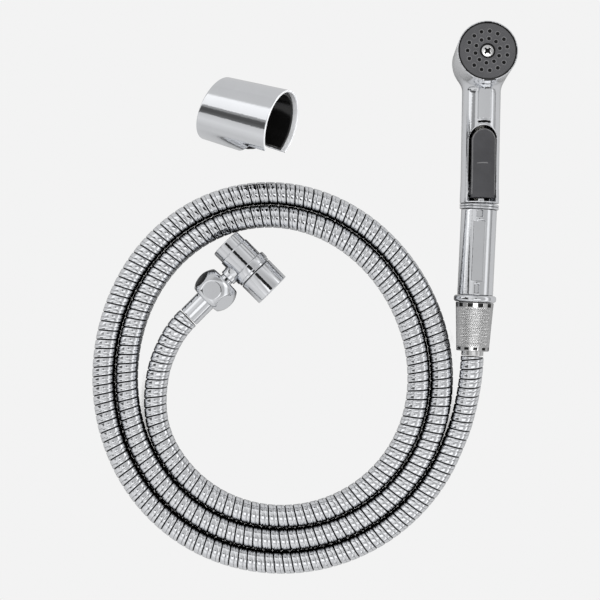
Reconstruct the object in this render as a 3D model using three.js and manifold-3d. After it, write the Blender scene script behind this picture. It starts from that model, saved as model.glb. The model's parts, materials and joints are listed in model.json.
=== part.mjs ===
// Hand-held bath sprayer kit: a lever handset, a coiled metal hose, a swivel tee fitting and a loose
// clip-in holder. Millimetres, +Z up. Everything lies on the plane z = 0, the handset along +Y with
// its spray face up. The origin is under the middle of the handset and the holder.
import * as THREE from 'three';
import { mergeVertices } from 'three/addons/utils/BufferGeometryUtils.js';
import Module from 'manifold-3d';

const wasm = await Module();
wasm.setup();

const TURN = 2 * Math.PI;
const rad = THREE.MathUtils.degToRad;

// ---------------------------------------------------------------- driving dimensions

const GAP = 0.3; // clearance between neighbouring solids
const FINE = 28; // sides of the large turned pieces
const PLAIN = 18; // sides of the small turned pieces

// Handset: its seam joins the head casting to the grip, which leans a little more.
const SEAM_AT = [80.5, -20.2, 13.6];
const BODY_LEAN = 1.05;
const GRIP_LEAN = 2.7;
const BODY_RADIUS = 12.4;
const BORE_RADIUS = 9.2;
const BODY_START = 0.9;
const GRIP_TOP = -3.2;
const GRIP_END = -58.5;

// Head: a drum across the end of the handle, measured along its own axis h.
const HEAD_Y = 92.7;
const HEAD_TILT = 4.7;
const HEAD_BACK = -12.7;
const HEAD_TOP = 30.4;
const HEAD_RADIUS = 19.15;
const PLATE_RADIUS = 18.25;
const PLATE_TOP = 30;
const PLATE_BOTTOM = 27.3;
const NOZZLE_RINGS = [{ count: 15, radius: 12.6 }, { count: 10, radius: 7.8 }];
const NOZZLE_START = 12.5;
const NOZZLE_HOLE = 1.25;

// Lever: an arch-topped paddle in an arch-topped pocket, on a cross pin near its lower end.
const POCKET = { half: 9, bottom: 2, top: 50.45 };
const PADDLE = { half: 8, bottom: 4, top: 48.7 };
const PIN = { y: 8.5, z: 3.2, radius: 1.5, half: 10.4 };
const PLUNGER_Y = 34;

// Hose end at the handset, along the grip axis.
const THREAD_RADIUS = 10.3; // G 1/2 male
const NUT = { top: -63.2, end: -94.6, topRadius: 12.3, endRadius: 10.55 };
const TAIL_END = -97.5;

// Hose: a metal hose wound into a slightly out-of-round flat coil of 2 1/3 turns.
const HOSE_RADIUS = 7.4;
const COIL_AT = [-50.4, -129.65];
const COIL = { radius: 124.5, pitch: 14.96, first: 24, last: 860, half: 7.2, chamfer: 3.5 };
const OUT_OF_ROUND = [[2, -3.13, 1.25], [3, 0.65, 0.86]]; // [lobes, cosine, sine]
const LEAD_ROUTE = [
  [75.9, -118.4, 13.6], [75.4, -127, 13.4], [74.5, -135.6, 12.1], [73.1, -145.1, 10.2],
  [71.1, -154.8, 8.4], [68.2, -165.2, 7.5],
];
const TAIL_ROUTE = [
  [-123.3, -177.2, 7.4], [-128.2, -164.2, 7.4], [-130, -150.7, 7.4], [-129.4, -137.2, 7.6],
  [-126.8, -124.2, 8.8], [-121.9, -112.2, 10.8], [-116.6, -103, 12.7], [-111.3, -96.35, 13.6],
  [-108.4, -93.45, 13.6],
];

// Ball nut and tee: local +Y runs from the hose to the tee, local +X along the tee's run.
const BALL_AT = [-90.4, -75.45, 13.6];
const FITTING_TURN = -45;
const BALL = { y: 3.4, radius: 6.9 };
const BALL_NUT = { radius: 13.8, half: 9.15, flat: 12.75 };
const TEE_Y = 26.2;

// Holder: a conical sleeve with a side slot, on its wall flange, so its axis rises. Its lower end is
// cut askew, by skew millimetres along for each one across.
const HOLDER_AT = [-89.65, 41.3, 0];
const HOLDER_YAW = -17.4;
const HOLDER_RISE = 21.9;
const SLEEVE = { lift: 22, length: 47.9, low: 21.2, mouth: 23, wall: 1.4, skew: 0.167 };
const LINER_WALL = 1.9;
// The slot as [place along, upper edge, lower edge] in degrees from -Y towards -Z: wider at the mouth.
const SLOT = [[-30, 5, 58], [23.5, 5, 58], [36, -32, 52], [70, -32, 52]];
const SCREW_X = 16; // along the sleeve
const FLANGE = { x: 22, radius: 17.5, thick: 3.2 };

// ---------------------------------------------------------------- materials

const look = (color, metalness, roughness) =>
  new THREE.MeshStandardMaterial({ color, metalness, roughness });
const CHROME = look(0xd6d8db, 1, 0.08);
const SATIN = look(0xbdbdbb, 1, 0.35);
const BRASS = look(0xb08a4a, 1, 0.3);
const STEEL = look(0x9a9c9e, 1, 0.3);
const GREY_PLASTIC = look(0x4a4a4c, 0, 0.5);
const BLACK_PLASTIC = look(0x101011, 0, 0.35);
const RUBBER = look(0x1a1a1b, 0, 0.8);
const NYLON = look(0xd8d6cc, 0, 0.5);

// ---------------------------------------------------------------- geometry helpers

// A closed copy with welded corners, no empty triangles and its faces pointing out.
function closed(geometry) {
  const bare = geometry.index ? geometry.toNonIndexed() : geometry.clone();
  bare.deleteAttribute('normal');
  bare.deleteAttribute('uv');
  const welded = mergeVertices(bare, 1e-4);
  const corner = (i) => new THREE.Vector3().fromBufferAttribute(welded.attributes.position, i);
  const triangles = [];
  let volume = 0;
  for (let i = 0; i < welded.index.count; i += 3) {
    const [a, b, c] = [0, 1, 2].map((k) => welded.index.getX(i + k));
    if (a === b || b === c || c === a) continue;
    triangles.push([a, b, c]);
    volume += corner(a).dot(corner(b).cross(corner(c)));
  }
  welded.setIndex(triangles.flatMap((t) => (volume < 0 ? [t[0], t[2], t[1]] : t)));
  return welded;
}

function toManifold(geometry) {
  const welded = closed(geometry);
  const vertProperties = Float32Array.from(welded.attributes.position.array);
  const triVerts = Uint32Array.from(welded.index.array);
  return new wasm.Manifold(new wasm.Mesh({ numProp: 3, vertProperties, triVerts }));
}

function fromManifold(manifold) {
  const mesh = manifold.getMesh();
  const geometry = new THREE.BufferGeometry();
  geometry.setAttribute('position', new THREE.Float32BufferAttribute(mesh.vertProperties, 3));
  geometry.setIndex([...mesh.triVerts]);
  return geometry;
}

const cut = (geometry, ...tools) =>
  fromManifold(tools.reduce((body, tool) => body.subtract(toManifold(tool)), toManifold(geometry)));
const join = (geometry, ...more) =>
  fromManifold(more.reduce((body, other) => body.add(toManifold(other)), toManifold(geometry)));
const common = (geometry, other) =>
  fromManifold(toManifold(geometry).intersect(toManifold(other)));

// Turned pieces have +Y as their axis; the profile is a list of [radius, height].
function turned(profile, sides = PLAIN) {
  const points = profile.map(([radius, height]) => new THREE.Vector2(radius, height));
  return closed(new THREE.LatheGeometry(points, sides));
}
const hollow = (profile, sides) => turned([...profile, profile[0]], sides);
const rod = (radius, from, to, sides) =>
  turned([[0, from], [radius, from], [radius, to], [0, to]], sides);
const pipe = (outer, inner, from, to, sides) =>
  hollow([[inner, from], [outer, from], [outer, to], [inner, to]], sides);
const alongX = (geometry) => geometry.rotateZ(-Math.PI / 2);
const alongZ = (geometry) => geometry.rotateX(Math.PI / 2);

function block([x0, y0, z0], [x1, y1, z1]) {
  const box = new THREE.BoxGeometry(x1 - x0, y1 - y0, z1 - z0);
  return box.translate((x0 + x1) / 2, (y0 + y1) / 2, (z0 + z1) / 2);
}

function prism(shape, from, to, curveSegments = 10) {
  const options = { depth: to - from, bevelEnabled: false, curveSegments };
  return closed(new THREE.ExtrudeGeometry(shape, options).translate(0, 0, from));
}

function archShape({ half, bottom, top }) {
  const shape = new THREE.Shape();
  shape.moveTo(-half, bottom);
  shape.lineTo(half, bottom);
  shape.absarc(0, top - half, half, 0, Math.PI);
  return shape;
}

// Quarter-round corner of a turned profile, from angle a to b (degrees) about [radius, height].
function corner([radius, height], size, a, b, steps = 4) {
  return Array.from({ length: steps + 1 }, (_, i) => {
    const angle = rad(a + ((b - a) * i) / steps);
    return [radius + size * Math.cos(angle), height + size * Math.sin(angle)];
  });
}

// ---------------------------------------------------------------- handset head and body

const headAxis = (geometry) =>
  alongZ(geometry).rotateX(-rad(HEAD_TILT)).translate(0, HEAD_Y, 0);

function drum() {
  return headAxis(turned([
    [0, HEAD_BACK], ...corner([12, HEAD_BACK + 6.7], 6.7, -90, 0), [18.9, 12],
    ...corner([HEAD_RADIUS - 0.5, HEAD_TOP - 0.5], 0.5, 0, 90, 2), [0, HEAD_TOP],
  ], FINE));
}

function upperBody() {
  const handle = turned([
    [0, BODY_START], [12.2, BODY_START], [12.6, BODY_START + 0.4], [12.6, 4], [12.3, 14],
    [BODY_RADIUS, 60], [BODY_RADIUS, HEAD_Y], [0, HEAD_Y],
  ], FINE);
  const cavity = headAxis(turned([
    [0, HEAD_BACK + 3.2], [12, HEAD_BACK + 3.2], [16.2, -3], [16.2, 25], [18.55, 25],
    [18.55, HEAD_TOP + 1], [0, HEAD_TOP + 1],
  ], FINE));
  const bore = rod(BORE_RADIUS, BODY_START - 1, HEAD_Y - 12, FINE);
  const pocket = prism(archShape(POCKET), -1, BODY_RADIUS + 2);
  const pinHole = alongX(rod(PIN.radius + 0.15, -PIN.half - GAP, PIN.half + GAP, 16));
  pinHole.translate(0, PIN.y, PIN.z);
  return cut(join(handle, drum()), bore, cavity, pocket, pinHole);
}

function nozzlePlaces() {
  return NOZZLE_RINGS.flatMap(({ count, radius }) =>
    Array.from({ length: count }, (_, i) => {
      const angle = rad(NOZZLE_START) + (TURN * i) / count;
      return [radius * Math.cos(angle), radius * Math.sin(angle)];
    }));
}

function facePlate() {
  const disc = turned([
    [0, PLATE_BOTTOM], [PLATE_RADIUS, PLATE_BOTTOM], [PLATE_RADIUS, PLATE_TOP - 0.4],
    [PLATE_RADIUS - 0.4, PLATE_TOP], [4.3, PLATE_TOP], [4.3, 28.5], [0, 28.5],
  ], FINE);
  const holes = nozzlePlaces().map(([x, z]) =>
    rod(NOZZLE_HOLE, PLATE_BOTTOM - 1, PLATE_TOP + 1, 6).translate(x, 0, -z));
  return headAxis(cut(disc, ...holes, rod(1.9, PLATE_BOTTOM - 1, PLATE_TOP, 12)));
}

function nozzlePad() {
  const disc = pipe(18.2, 1.9, 25 + GAP, PLATE_BOTTOM - GAP, FINE);
  const nubs = nozzlePlaces().map(([x, z]) =>
    turned([[0, 26], [0.92, 26], [0.8, PLATE_TOP + 0.2], [0, PLATE_TOP + 0.2]], 5).translate(x, 0, -z));
  return headAxis(join(disc, ...nubs));
}

function faceScrew() {
  const screw = turned([
    [0, 16], [1.5, 16], [1.5, 28.8], [3.9, 28.8], [3.9, 29.7], [3.4, 30.2], [0, 30.2],
  ], 24);
  const slot = (long, wide) => block([-long, 29.2, -wide], [long, 31, wide]).rotateY(rad(45));
  return headAxis(cut(screw, slot(1.9, 0.45), slot(0.45, 1.9)));
}

function sprayChamber() {
  const cup = hollow([
    [2, -8.8], [6.5, -8.8], [6.5, 6], [15.9, 16], [15.9, 20.8], [14.4, 20.8], [14.4, 22.7],
    [15.9, 22.7], [15.9, 24.7], [13.4, 24.7], [13.4, 17.2], [5, 7.6], [5, -7.2], [2, -7.2],
  ]);
  const plug = rod(2.4, -8.8, -7.2, 12);
  const bars = [0, 60, 120].map((turn) => block([-14, 13.5, -0.8], [14, 18, 0.8]).rotateY(rad(turn)));
  const post = rod(3.2, 13.5, 24.7, 16);
  const pilot = rod(1.8, 15, 26, 12);
  const inlet = rod(3.5, HEAD_Y - 9, HEAD_Y - 3, 16).translate(0, 0, -5);
  return cut(headAxis(cut(join(cup, plug, ...bars, post), pilot)), inlet);
}

function headSeal() {
  return headAxis(turned(corner([15.35, 21.75], 0.5, 0, 360, 6), FINE));
}

// ---------------------------------------------------------------- lever and valve

const atPlunger = (geometry) => alongZ(geometry).translate(0, PLUNGER_Y, 0);

function paddleSide() {
  const side = new THREE.Shape();
  side.moveTo(PADDLE.bottom - 1, 7.2);
  side.lineTo(PADDLE.top + 1, 8);
  side.lineTo(PADDLE.top + 1, 12.4);
  side.quadraticCurveTo(38, 10.6, 26.4, 12.6);
  side.quadraticCurveTo(15, 12.2, PADDLE.bottom - 1, 10.8);
  return side;
}

function thumbLever() {
  // The side view is drawn in (y, z) and swept across x.
  const sweep = prism(paddleSide(), -PADDLE.half - 1, PADDLE.half + 1)
    .rotateZ(Math.PI / 2).rotateY(Math.PI / 2);
  const paddle = common(sweep, prism(archShape(PADDLE), 0, 20));
  const hub = alongX(rod(2.6, -7.5, 7.5, 20)).translate(0, PIN.y, PIN.z);
  const web = block([-7.5, PIN.y - 3, PIN.z], [7.5, PIN.y + 3, 8]);
  const boss = atPlunger(rod(2.4, 5.9, 9, 14));
  const pinHole = alongX(rod(PIN.radius + 0.15, -9, 9, 16)).translate(0, PIN.y, PIN.z);
  return cut(join(paddle, hub, web, boss), pinHole);
}

const leverPin = () => alongX(rod(PIN.radius, -PIN.half, PIN.half, 16)).translate(0, PIN.y, PIN.z);

function valveBody() {
  const barrel = rod(8.9, 15, 43, FINE);
  const flat = block([-10, 10, -0.5], [10, 50, 10]);
  const springSeat = atPlunger(rod(4.3, -2.5, 1, 20));
  const plungerBore = atPlunger(rod(2.3, -7.4, 0, 20));
  const waterway = rod(2.4, 16, 42, 16).translate(0, 0, -5);
  const inletSocket = rod(4.2, 14, 20, 20).translate(0, 0, -3);
  const outletSocket = rod(3.3, 39, 44, 16).translate(0, 0, -5);
  return cut(barrel, flat, springSeat, plungerBore, waterway, inletSocket, outletSocket);
}

function valvePlunger() {
  return atPlunger(turned([
    [0, -4.8], [2, -4.8], [2, -3.6], [1.5, -3.6], [1.5, -2.2], [2, -2.2], [2, 4.2], [3.8, 4.2],
    [3.8, 5.2], [3.3, 5.6], [0, 5.6],
  ], 18));
}

// The o-ring in the plunger's groove, closing the bore below the spring.
const plungerSeal = () => atPlunger(turned(corner([1.88, -2.9], 0.26, 0, 360, 6), 20));

class Helix extends THREE.Curve {
  constructor(radius, from, to, turns) {
    super();
    Object.assign(this, { radius, from, to, turns });
  }

  getPoint(t) {
    const angle = t * this.turns * TURN;
    const height = THREE.MathUtils.lerp(this.from, this.to, t);
    return new THREE.Vector3(this.radius * Math.cos(angle), this.radius * Math.sin(angle), height);
  }
}

function polygon(radius, sides) {
  const corners = Array.from({ length: sides }, (_, i) => (TURN * i) / sides);
  return new THREE.Shape(corners.map((a) => new THREE.Vector2(radius * Math.cos(a), radius * Math.sin(a))));
}

const sweptAlong = (extrudePath, radius, sides, steps) =>
  closed(new THREE.ExtrudeGeometry(polygon(radius, sides), { extrudePath, steps, bevelEnabled: false }));

const returnSpring = () =>
  sweptAlong(new Helix(3, -1.9, 1.6, 3), 0.28, 4, 32).translate(0, PLUNGER_Y, 0);

const outletTube = () => pipe(3, 2, 40, HEAD_Y - 6, 16).translate(0, 0, -5);

// ---------------------------------------------------------------- grip and handset inlet

function gripShell() {
  const shell = hollow([
    [BORE_RADIUS, GRIP_END], [11.55, GRIP_END], [11.5, GRIP_TOP], [BORE_RADIUS, GRIP_TOP],
  ], FINE);
  const panel = block([-5.1, -49.6, 10.8], [2.9, -10.4, 14]);
  return cut(shell, panel);
}

function seamRing() {
  return hollow([
    [7, -9], [8.9, -9], [8.9, -2.9], [12.2, -2.9], [12.6, -2.5], [12.6, -1.7], [12.2, -1.35],
    [12.6, -1], [12.6, -0.2], [12.2, 0.2], [8.8, 0.2], [8.8, 3.2], [7, 3.2],
  ], FINE);
}

function endCollar() {
  return hollow([
    [BORE_RADIUS, -62.6], ...corner([11.8, -60.7], 1.85, -90, 90, 4), [BORE_RADIUS, -58.8],
  ], FINE);
}

function inletFitting() {
  const body = hollow([
    [6.5, -73.5], [THREAD_RADIUS - 0.6, -73.5], [THREAD_RADIUS, -72.9], [THREAD_RADIUS, -62.9],
    [8.9, -62.9], [8.9, -47], [1, -47], [1, -55], [6.5, -55],
  ], FINE);
  return cut(body, rod(4, -56, -46, 20).translate(0, 0, -3), rod(2, -56, -46, 8));
}

const supplyTube = () => pipe(3.3, 2.3, -53, 18.5, 16).translate(0, 0, -3);

function flowLimiter() {
  return hollow([[1.2, -66.5], [6.1, -66.5], [6.1, -62.5], [4.2, -62.5], [4.2, -64.5], [1.2, -64.5]]);
}

// ---------------------------------------------------------------- hose and its end at the handset

const handsetWasher = () => pipe(9.6, 5.5, -75.7, -73.8);

function hoseTail() {
  return hollow([
    [4.5, TAIL_END], [7.1, TAIL_END], [7.1, -77.9], [9.6, -77.9], [9.6, -76], [4.5, -76],
  ]);
}

function hoseNut() {
  return hollow([
    [7.5, NUT.end], [NUT.endRadius - 0.5, NUT.end], [NUT.endRadius, NUT.end + 0.5],
    [NUT.topRadius, NUT.top - 0.5], [NUT.topRadius - 0.5, NUT.top], [10.7, NUT.top],
    [10.7, -78.2], [7.5, -78.2],
  ], FINE);
}

// Radius of the coil's centre line at winding angle t, clockwise as seen from above.
function coilRadius(t) {
  const lobes = OUT_OF_ROUND.map(([n, c, s]) => c * Math.cos(n * t) + s * Math.sin(n * t));
  return lobes.reduce((sum, lobe) => sum + lobe, COIL.radius - (COIL.pitch * t) / TURN);
}

function coilEdge(from, offset, sides = 60) {
  return Array.from({ length: sides + 1 }, (_, i) => {
    const t = from + (TURN * i) / sides;
    const r = coilRadius(t) + offset;
    return new THREE.Vector2(COIL_AT[0] + r * Math.cos(t), COIL_AT[1] - r * Math.sin(t));
  });
}

// The coil's outer shape: the outside of its first turn and the inside of its last one. Each edge
// steps by one hose where the hose enters or leaves, and the tubes meet those two step faces.
function hoseCoil() {
  const outline = new THREE.Shape(coilEdge(rad(COIL.first), COIL.half));
  outline.holes.push(new THREE.Path(coilEdge(rad(COIL.last) - TURN, -COIL.half).reverse()));
  const { chamfer } = COIL;
  const coil = new THREE.ExtrudeGeometry(outline, {
    depth: 2 * (HOSE_RADIUS - chamfer),
    bevelThickness: chamfer,
    bevelSize: chamfer,
    bevelOffset: -chamfer,
    bevelSegments: 1,
  });
  return closed(coil.translate(0, 0, chamfer));
}

function coilPoint(t) {
  const r = coilRadius(t);
  return new THREE.Vector3(COIL_AT[0] + r * Math.cos(t), COIL_AT[1] - r * Math.sin(t), HOSE_RADIUS);
}

// A stretch of hose through the route's points; it stops just short of the coil's step face.
function hoseTube(route, steps) {
  const path = new THREE.CatmullRomCurve3(route, false, 'centripetal');
  return sweptAlong(path, HOSE_RADIUS, 10, steps);
}

const points = (route) => route.map((p) => new THREE.Vector3(...p));
const STEP_FACE_GAP = rad(1);
const hoseLead = () =>
  hoseTube([...points(LEAD_ROUTE), coilPoint(rad(COIL.first) - STEP_FACE_GAP / 2)], 12);
const hoseEnd = () =>
  hoseTube([coilPoint(rad(COIL.last) + STEP_FACE_GAP), ...points(TAIL_ROUTE)], 18);

// ---------------------------------------------------------------- ball nut and tee

function hoseFerrule() {
  return hollow([
    [4.2, -24.4], [6.5, -24.4], [7.1, -22], [7.1, -6.6], [9.3, -6.6], [9.3, -4.2], [4.2, -4.2],
  ]);
}

const ballSeal = () => pipe(9.2, 4.6, -3.9, -2.2);

function ballNut() {
  const { radius, half, flat } = BALL_NUT;
  const edge = THREE.MathUtils.radToDeg(Math.asin((half - 0.3) / radius));
  const outside = turned([
    [0, -half], [9, -half], ...corner([0, 0], radius, -edge, edge, 6), [10, half], [0, half],
  ], 24);
  const inside = turned([
    [0, -half - 1], [7.6, -half - 1], [7.6, -6.9], [9.6, -6.9], [9.6, 3.8], [7.6, 4], [7.05, 6],
    [6.3, 7.4], [6.4, half + 1], [0, half + 1],
  ], 24);
  const flats = [10, 70, 130, 190, 250, 310].map((turn) =>
    block([-10, -15, flat], [10, 15, flat + 5]).rotateY(rad(turn - 20)));
  return cut(outside, ...flats, inside);
}

function ballStem() {
  const lip = THREE.MathUtils.radToDeg(Math.asin(2.4 / BALL.radius));
  const neck = THREE.MathUtils.radToDeg(Math.acos(4.3 / BALL.radius));
  return hollow([
    ...corner([0, BALL.y], BALL.radius, -90 + lip, neck, 9), [4.3, 16.5], [2.4, 16.5],
  ]);
}

function teeBody() {
  const run = alongX(turned([
    [0, -17.3], [9.8, -17.3], [10.35, -16.8], [10.35, -9.8], [11.1, -9.4], [11.1, 3.4],
    [12.5, 3.4], [12.8, 3.7], [12.8, 8], [12.2, 8.3], [12.2, 9.9], [8.2, 9.9], [8.2, 14.4],
    [7.4, 14.4], [7.4, 16.2], [8.2, 16.2], [8.2, 17.6], [0, 17.6],
  ], FINE)).translate(0, TEE_Y, 0);
  const neck = turned([[0, 11], [5.1, 11], [5.5, 11.4], [5.5, 14], [7.4, 17.5], [7.4, TEE_Y], [0, TEE_Y]]);
  const runBore = alongX(turned([
    [0, -18], [8, -18], [8, -9], [6.3, -8], [6.3, 18], [0, 18],
  ])).translate(0, TEE_Y, 0);
  const neckBore = turned([[0, 10], [4.8, 10], [4.8, 17], [3, 17], [3, TEE_Y], [0, TEE_Y]], 20);
  return cut(join(run, neck), runBore, neckBore);
}

const snapRing = () => alongX(pipe(9.9, 7.8, 14.7, 15.9)).translate(0, TEE_Y, 0);
const checkValve = () => alongX(hollow([
  [1.5, 9], [6, 9], [6, 16.5], [4.8, 16.5], [4.8, 11], [1.5, 11],
])).translate(0, TEE_Y, 0);
const inletWasher = () => alongX(pipe(10.3, 5.8, 17.9, 20)).translate(0, TEE_Y, 0);

function filterScreen() {
  const disc = rod(5.4, 18.3, 19.1, 20);
  const holes = Array.from({ length: 6 }, (_, i) => [3.2 * Math.cos((TURN * i) / 6), 3.2 * Math.sin((TURN * i) / 6)]);
  const drilled = cut(disc, ...[[0, 0], ...holes].map(([x, z]) => rod(1.1, 18, 20, 8).translate(x, 0, z)));
  return alongX(drilled).translate(0, TEE_Y, 0);
}

function swivelNut() {
  return alongX(hollow([
    [8.6, 10.3], [11.7, 10.3], [12.2, 10.8], [12.2, 25.7], [11.9, 26], [10.9, 26], [10.7, 25.8],
    [10.7, 13.4], [8.6, 13.4],
  ], FINE)).translate(0, TEE_Y, 0);
}

// ---------------------------------------------------------------- holder

const sleeveRadius = (x) => SLEEVE.low + ((SLEEVE.mouth - SLEEVE.low) * x) / SLEEVE.length;

// A solid that reaches out through the slot, each of its edges moved in by lip degrees.
function slotTool(lip) {
  const steps = 8;
  const ring = 2 * (steps + 1);
  const points = SLOT.flatMap(([x, upper, lower]) => {
    const angle = (i) => rad(upper + lip + ((lower - upper - 2 * lip) * i) / steps);
    const at = (radius, i) => [x, -radius * Math.cos(angle(i)), -radius * Math.sin(angle(i))];
    const order = Array.from({ length: steps + 1 }, (_, i) => i);
    return [...order.map((i) => at(34, i)), ...order.reverse().map((i) => at(6, i))];
  });
  const faces = [];
  for (let row = 0; row + 1 < SLOT.length; row++) {
    for (let k = 0; k < ring; k++) {
      const [a, b] = [row * ring + k, row * ring + ((k + 1) % ring)];
      faces.push([a, b, b + ring], [a, b + ring, a + ring]);
    }
  }
  const end = (SLOT.length - 1) * ring;
  for (let i = 0; i < steps; i++) {
    const [a, b, c, d] = [i, i + 1, ring - 2 - i, ring - 1 - i];
    faces.push([d, c, b], [d, b, a], [end + a, end + b, end + c], [end + a, end + c, end + d]);
  }
  const geometry = new THREE.BufferGeometry();
  geometry.setAttribute('position', new THREE.Float32BufferAttribute(points.flat(), 3));
  geometry.setIndex(faces.flat());
  return geometry;
}

// A slotted conical shell, `inset` inside the sleeve's outside, with its lower end cut askew.
function slottedCone(inset, wall, from, to, lip) {
  const radius = (x) => sleeveRadius(x) - inset;
  const shell = alongX(hollow([
    [radius(-8) - wall, -8], [radius(-8), -8], [radius(to), to], [radius(to) - wall, to],
  ], FINE));
  const below = block([-60, -60, -60], [0, 60, 60]).rotateZ(-Math.atan(SLEEVE.skew));
  return cut(shell, below.translate(from, 0, 0), slotTool(lip));
}

const holderSleeve = () =>
  cut(slottedCone(0, SLEEVE.wall, 0, SLEEVE.length, 0), alongZ(rod(2, -26, -14, 14)).translate(SCREW_X, 0, 0));

function holderLiner() {
  const liner = slottedCone(SLEEVE.wall + GAP, LINER_WALL, 1.5, SLEEVE.length - 3.4, 1);
  return cut(liner, alongZ(rod(4.2, -24, -12, 16)).translate(SCREW_X, 0, 0));
}

const holderScrew = () => alongZ(turned([
  [0, -26], [1.6, -26], [1.6, -19.7], [3.4, -19.7], [3.4, -19], [2.6, -18.4], [0, -18.4],
], 16)).translate(SCREW_X, 0, 0);

// The flange lies flat on the surface; a boss rises from it to the underside of the sleeve.
function holderBase() {
  const flange = alongZ(turned([
    [0, 0], [FLANGE.radius, 0], [FLANGE.radius, 2.2], [FLANGE.radius - 1, FLANGE.thick], [0, FLANGE.thick],
  ], FINE)).translate(FLANGE.x, 0, 0);
  const boss = alongZ(rod(8, 1, 24, PLAIN)).translate(FLANGE.x + 1.5, 0, 0);
  const toSleeve = (geometry) => geometry.rotateY(-rad(HOLDER_RISE)).translate(0, 0, SLEEVE.lift);
  const clearance = toSleeve(alongX(turned([
    [0, -12], [sleeveRadius(-12) + GAP, -12], [sleeveRadius(60) + GAP, 60], [0, 60],
  ], FINE)));
  const pilot = toSleeve(alongZ(rod(1.9, -27, -14, 14)).translate(SCREW_X, 0, 0));
  return cut(join(flange, boss), clearance, pilot);
}

// ---------------------------------------------------------------- the kit

function group(position, ...turns) {
  const node = new THREE.Group();
  node.position.set(...position);
  node.rotation.set(...turns);
  return node;
}

function add(parent, name, geometry, material) {
  const mesh = new THREE.Mesh(geometry, material);
  mesh.name = name;
  parent.add(mesh);
}

const kit = new THREE.Group();

const body = group(SEAM_AT, 0, 0, -rad(BODY_LEAN));
add(body, 'upper_body', upperBody(), CHROME);
add(body, 'face_plate', facePlate(), GREY_PLASTIC);
add(body, 'nozzle_pad', nozzlePad(), RUBBER);
add(body, 'face_screw', faceScrew(), STEEL);
add(body, 'spray_chamber', sprayChamber(), BLACK_PLASTIC);
add(body, 'head_seal', headSeal(), RUBBER);
add(body, 'thumb_lever', thumbLever(), GREY_PLASTIC);
add(body, 'lever_pin', leverPin(), STEEL);
add(body, 'valve_body', valveBody(), BLACK_PLASTIC);
add(body, 'valve_plunger', valvePlunger(), STEEL);
add(body, 'plunger_seal', plungerSeal(), RUBBER);
add(body, 'return_spring', returnSpring(), STEEL);
add(body, 'outlet_tube', outletTube(), NYLON);

const grip = group(SEAM_AT, 0, 0, -rad(GRIP_LEAN));
add(grip, 'grip_shell', gripShell(), CHROME);
add(grip, 'seam_ring', seamRing(), CHROME);
add(grip, 'end_collar', endCollar(), CHROME);
add(grip, 'inlet_fitting', inletFitting(), BRASS);
add(grip, 'supply_tube', supplyTube(), NYLON);
add(grip, 'flow_limiter', flowLimiter(), NYLON);
add(grip, 'handset_washer', handsetWasher(), RUBBER);
add(grip, 'hose_tail', hoseTail(), STEEL);
add(grip, 'hose_nut', hoseNut(), SATIN);

add(kit, 'hose_lead', hoseLead(), CHROME);
add(kit, 'hose_coil', hoseCoil(), CHROME);
add(kit, 'hose_end', hoseEnd(), CHROME);

const fitting = group(BALL_AT, 0, 0, rad(FITTING_TURN));
add(fitting, 'hose_ferrule', hoseFerrule(), SATIN);
add(fitting, 'ball_seal', ballSeal(), RUBBER);
add(fitting, 'ball_nut', ballNut(), CHROME);
add(fitting, 'ball_stem', ballStem(), BRASS);
add(fitting, 'tee_body', teeBody(), CHROME);
add(fitting, 'snap_ring', snapRing(), STEEL);
add(fitting, 'check_valve', checkValve(), BLACK_PLASTIC);
add(fitting, 'inlet_washer', inletWasher(), RUBBER);
add(fitting, 'filter_screen', filterScreen(), STEEL);
add(fitting, 'swivel_nut', swivelNut(), CHROME);

const holder = group(HOLDER_AT, 0, 0, rad(HOLDER_YAW));
add(holder, 'holder_base', holderBase(), BLACK_PLASTIC);
const sleeve = group([0, 0, SLEEVE.lift], 0, -rad(HOLDER_RISE), 0);
add(sleeve, 'holder_sleeve', holderSleeve(), CHROME);
add(sleeve, 'holder_liner', holderLiner(), BLACK_PLASTIC);
add(sleeve, 'holder_screw', holderScrew(), STEEL);
holder.add(sleeve);

kit.add(body, grip, fitting, holder);

export default kit;
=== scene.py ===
# Hand-held bath sprayer kit: the looks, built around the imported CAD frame. Studio places are in metres.
# Every piece is made in millimetres in its own frame, and then set in its place, which comes from the
# packed joints and mounts.
import bpy
import bmesh
import json
import math
import numpy as np
from mathutils import Matrix, Vector


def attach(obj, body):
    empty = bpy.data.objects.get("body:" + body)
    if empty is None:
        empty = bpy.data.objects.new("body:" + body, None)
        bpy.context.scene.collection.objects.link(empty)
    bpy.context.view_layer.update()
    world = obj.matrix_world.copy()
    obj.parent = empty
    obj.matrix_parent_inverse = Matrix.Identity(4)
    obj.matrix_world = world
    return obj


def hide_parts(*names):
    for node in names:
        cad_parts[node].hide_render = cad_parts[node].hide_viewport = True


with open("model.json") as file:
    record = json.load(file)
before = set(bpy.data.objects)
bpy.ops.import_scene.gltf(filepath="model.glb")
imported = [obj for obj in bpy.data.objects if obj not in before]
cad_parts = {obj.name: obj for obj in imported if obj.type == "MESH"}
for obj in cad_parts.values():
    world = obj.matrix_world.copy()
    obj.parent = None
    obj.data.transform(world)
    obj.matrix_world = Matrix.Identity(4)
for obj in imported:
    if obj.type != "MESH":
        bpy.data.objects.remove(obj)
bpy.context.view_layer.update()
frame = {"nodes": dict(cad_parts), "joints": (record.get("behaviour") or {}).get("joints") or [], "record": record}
scene = bpy.context.scene
MM = 0.001
TURN = 2 * math.pi
JOINTS = {joint["name"]: joint for joint in frame["joints"]}
MOUNTS = {mount["name"]: mount for mount in frame["record"]["mounts"]}

# ------------------------------------------------------------------ camera

CAMERA_AT = (-0.0357, -0.08175, 1.0)
LENS = 91.33

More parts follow.
